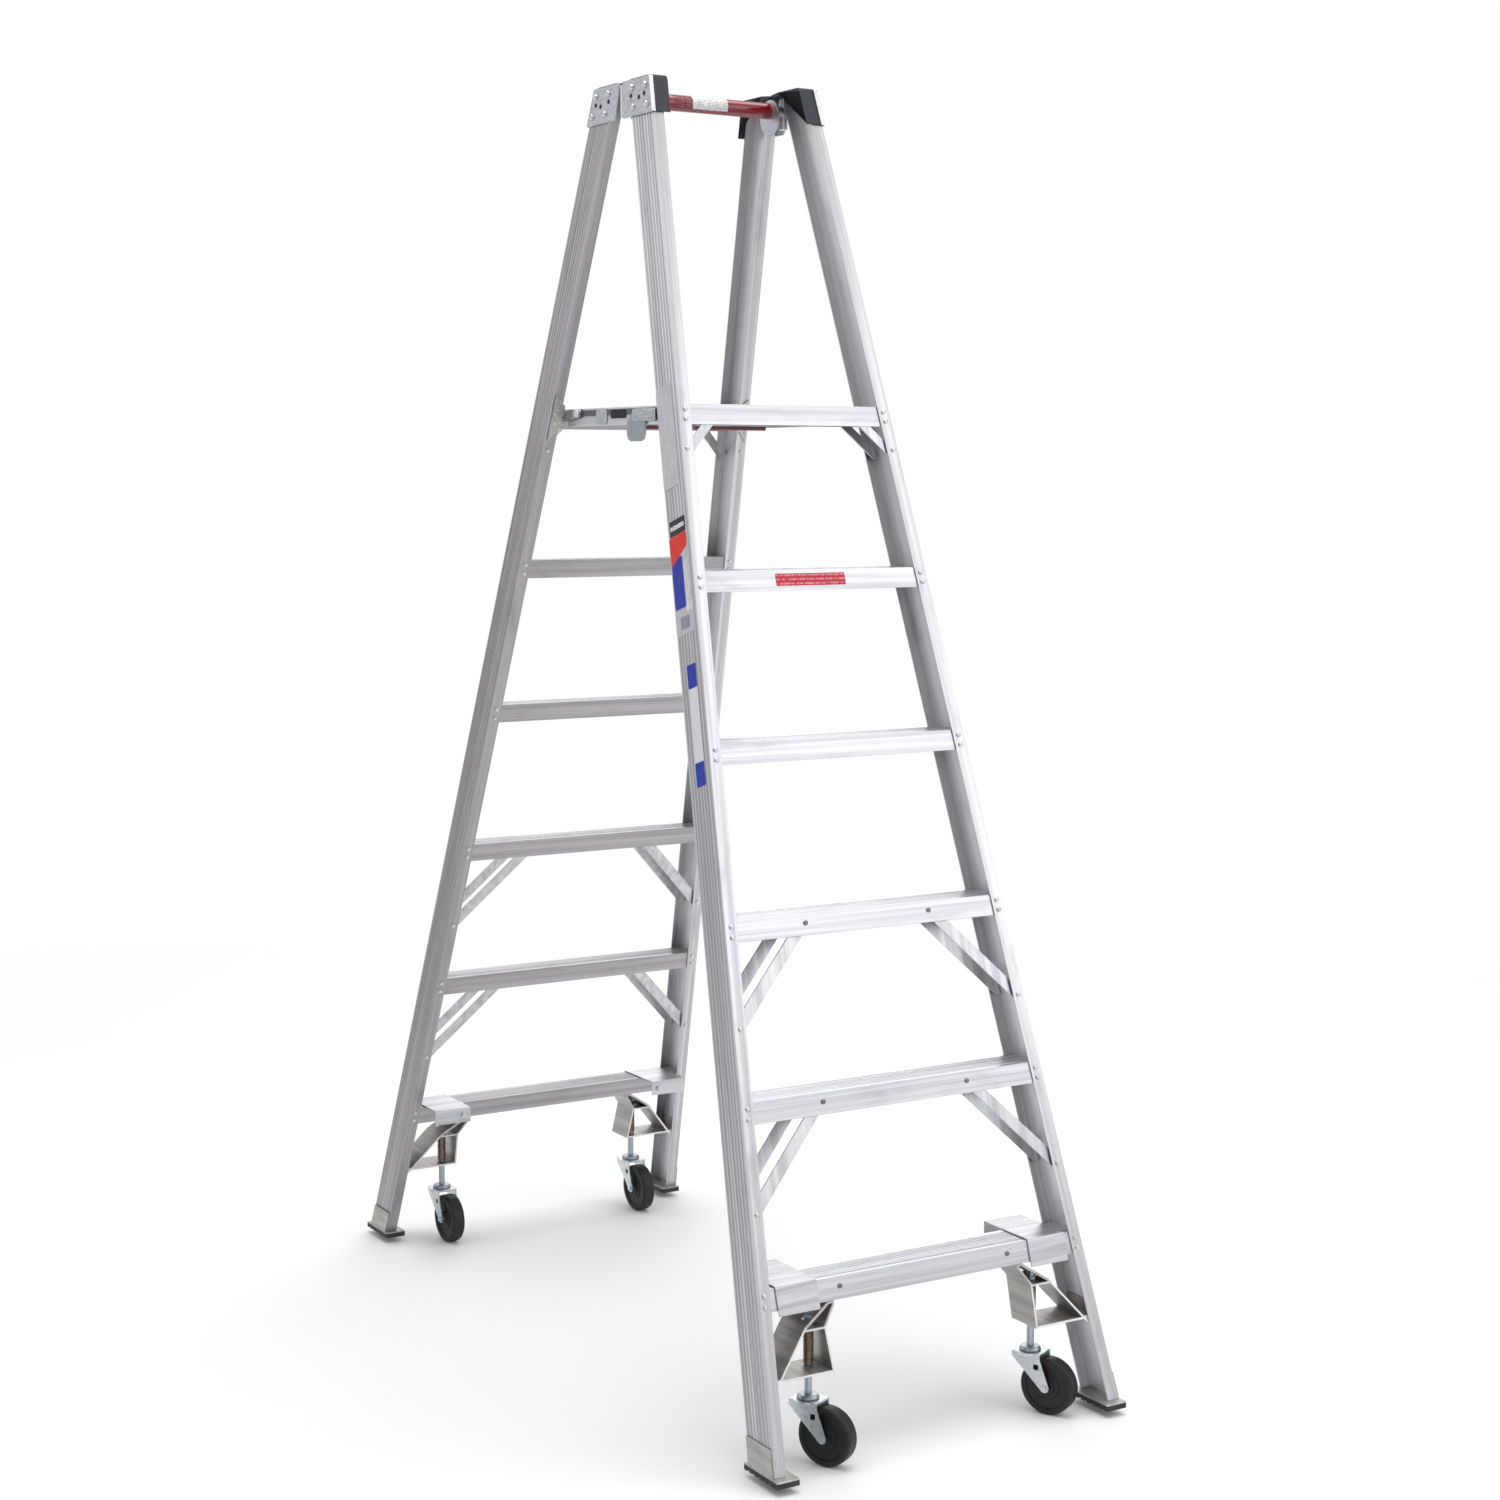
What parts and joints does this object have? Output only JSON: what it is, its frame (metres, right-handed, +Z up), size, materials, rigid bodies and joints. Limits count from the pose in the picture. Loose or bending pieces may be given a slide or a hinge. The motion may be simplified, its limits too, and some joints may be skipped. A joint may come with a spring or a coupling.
{
  "type": "mobile ladder stand",
  "caption": "Folding twin-sided step ladder with a platform between its frames, a top hand tube, gripping feet and sprung swivel casters that lift it off its feet when it is empty.",
  "frame": {"origin": "on the floor under the middle of the stand, level with the bottoms of the caster wheels", "axes": "+X along the treads to the right seen from the front frame, +Y from the front frame to the rear frame, +Z up"},
  "size_m": [0.7166, 1.692, 2.3475],
  "materials": {
    "aluminium": "mill finish, fluted and ribbed extrusions with light smudges",
    "steel": "zinc-plated pressed sheet with a fine grain",
    "zinc": "bright zinc plating",
    "plastic": "dark slate moulded plastic, fine texture",
    "rubber": "black rubber, ribbed on the pads",
    "red": "glossy deep red coating"
  },
  "bodies": {
    "front_frame": {"front_step_1": "aluminium", "front_step_2": "aluminium", "front_step_3": "aluminium", "front_step_4": "aluminium", "front_step_5": "aluminium", "front_platform_bar": "aluminium", "front_left_rail": "aluminium", "front_left_hinge_plate": "steel", "front_left_cap": "plastic", "front_left_foot": "rubber", "front_left_step_cover": "aluminium", "front_left_brace_2": "aluminium", "front_left_brace_3": "aluminium", "front_left_caster_bracket": "aluminium", "front_right_rail": "aluminium", "front_right_hinge_plate": "steel", "front_right_cap": "plastic", "front_right_foot": "rubber", "front_right_step_cover": "aluminium", "front_right_brace_2": "aluminium", "front_right_brace_3": "aluminium", "front_right_caster_bracket": "aluminium", "top_handle_tube": "red"},
    "rear_frame": {"rear_step_1": "aluminium", "rear_step_2": "aluminium", "rear_step_3": "aluminium", "rear_step_4": "aluminium", "rear_step_5": "aluminium", "rear_platform_bar": "aluminium", "rear_left_rail": "aluminium", "rear_left_hinge_plate": "steel", "rear_left_cap": "plastic", "rear_left_foot": "rubber", "rear_left_step_cover": "aluminium", "rear_left_brace_2": "aluminium", "rear_left_brace_3": "aluminium", "rear_left_caster_bracket": "aluminium", "rear_right_rail": "aluminium", "rear_right_hinge_plate": "steel", "rear_right_cap": "plastic", "rear_right_foot": "rubber", "rear_right_step_cover": "aluminium", "rear_right_brace_2": "aluminium", "rear_right_brace_3": "aluminium", "rear_right_caster_bracket": "aluminium"},
    "platform": {"platform_deck": "aluminium"},
    "latch": {"platform_latch": "zinc", "latch_release_bar": "red"},
    "front_left_spindle": {"front_left_caster_spindle": "zinc"},
    "front_left_fork": {"front_left_caster_fork": "zinc"},
    "front_left_wheel": {"front_left_caster_wheel": "rubber"},
    "front_right_spindle": {"front_right_caster_spindle": "zinc"},
    "front_right_fork": {"front_right_caster_fork": "zinc"},
    "front_right_wheel": {"front_right_caster_wheel": "rubber"},
    "rear_left_spindle": {"rear_left_caster_spindle": "zinc"},
    "rear_left_fork": {"rear_left_caster_fork": "zinc"},
    "rear_left_wheel": {"rear_left_caster_wheel": "rubber"},
    "rear_right_spindle": {"rear_right_caster_spindle": "zinc"},
    "rear_right_fork": {"rear_right_caster_fork": "zinc"},
    "rear_right_wheel": {"rear_right_caster_wheel": "rubber"}
  },
  "joints": [
    {"name": "frame_fold", "type": "hinge", "parent": "front_frame", "child": "rear_frame", "pos_m": [0, 0, 2.316], "axis": [1, 0, 0], "range_deg": [-32, 0]},
    {"name": "platform_tilt", "type": "hinge", "parent": "rear_frame", "child": "platform", "pos_m": [0, 0.15, 1.7484], "axis": [1, 0, 0], "range_deg": [0, 108]},
    {"name": "latch_swing", "type": "hinge", "parent": "platform", "child": "latch", "pos_m": [-0.1886, -0.076, 1.742], "axis": [1, 0, 0], "range_deg": [0, 25], "stiffness_Nm_per_rad": 0.3, "springref_deg": -28.65},
    {"name": "front_left_spring_slide", "type": "slide", "parent": "front_frame", "child": "front_left_spindle", "axis": [0, 0, 1], "range_m": [0, 0.016], "stiffness_N_per_m": 3000, "springref_m": -0.03},
    {"name": "front_left_swivel", "type": "hinge", "parent": "front_left_spindle", "child": "front_left_fork", "pos_m": [-0.2307, -0.7358, 0.108], "axis": [0, 0, 1], "continuous": true},
    {"name": "front_left_roll", "type": "hinge", "parent": "front_left_fork", "child": "front_left_wheel", "pos_m": [-0.21354, -0.76948, 0.05], "axis": [0.891, 0.454, 0], "continuous": true},
    {"name": "front_right_spring_slide", "type": "slide", "parent": "front_frame", "child": "front_right_spindle", "axis": [0, 0, 1], "range_m": [0, 0.016], "stiffness_N_per_m": 3000, "springref_m": -0.03},
    {"name": "front_right_swivel", "type": "hinge", "parent": "front_right_spindle", "child": "front_right_fork", "pos_m": [0.2307, -0.7358, 0.108], "axis": [0, 0, 1], "continuous": true},
    {"name": "front_right_roll", "type": "hinge", "parent": "front_right_fork", "child": "front_right_wheel", "pos_m": [0.24786, -0.76948, 0.05], "axis": [0.891, 0.454, 0], "continuous": true},
    {"name": "rear_left_spring_slide", "type": "slide", "parent": "rear_frame", "child": "rear_left_spindle", "axis": [0, 0, 1], "range_m": [0, 0.016], "stiffness_N_per_m": 3000, "springref_m": -0.03},
    {"name": "rear_left_swivel", "type": "hinge", "parent": "rear_left_spindle", "child": "rear_left_fork", "pos_m": [-0.2307, 0.7358, 0.108], "axis": [0, 0, 1], "continuous": true},
    {"name": "rear_left_roll", "type": "hinge", "parent": "rear_left_fork", "child": "rear_left_wheel", "pos_m": [-0.2307, 0.698, 0.05], "axis": [1, 0, 0], "continuous": true},
    {"name": "rear_right_spring_slide", "type": "slide", "parent": "rear_frame", "child": "rear_right_spindle", "axis": [0, 0, 1], "range_m": [0, 0.016], "stiffness_N_per_m": 3000, "springref_m": -0.03},
    {"name": "rear_right_swivel", "type": "hinge", "parent": "rear_right_spindle", "child": "rear_right_fork", "pos_m": [0.2307, 0.7358, 0.108], "axis": [0, 0, 1], "continuous": true},
    {"name": "rear_right_roll", "type": "hinge", "parent": "rear_right_fork", "child": "rear_right_wheel", "pos_m": [0.2307, 0.698, 0.05], "axis": [1, 0, 0], "continuous": true}
  ],
  "couplings": [
    {"joint": "platform_tilt", "follows": "frame_fold", "ratio": -3.35}
  ]
}
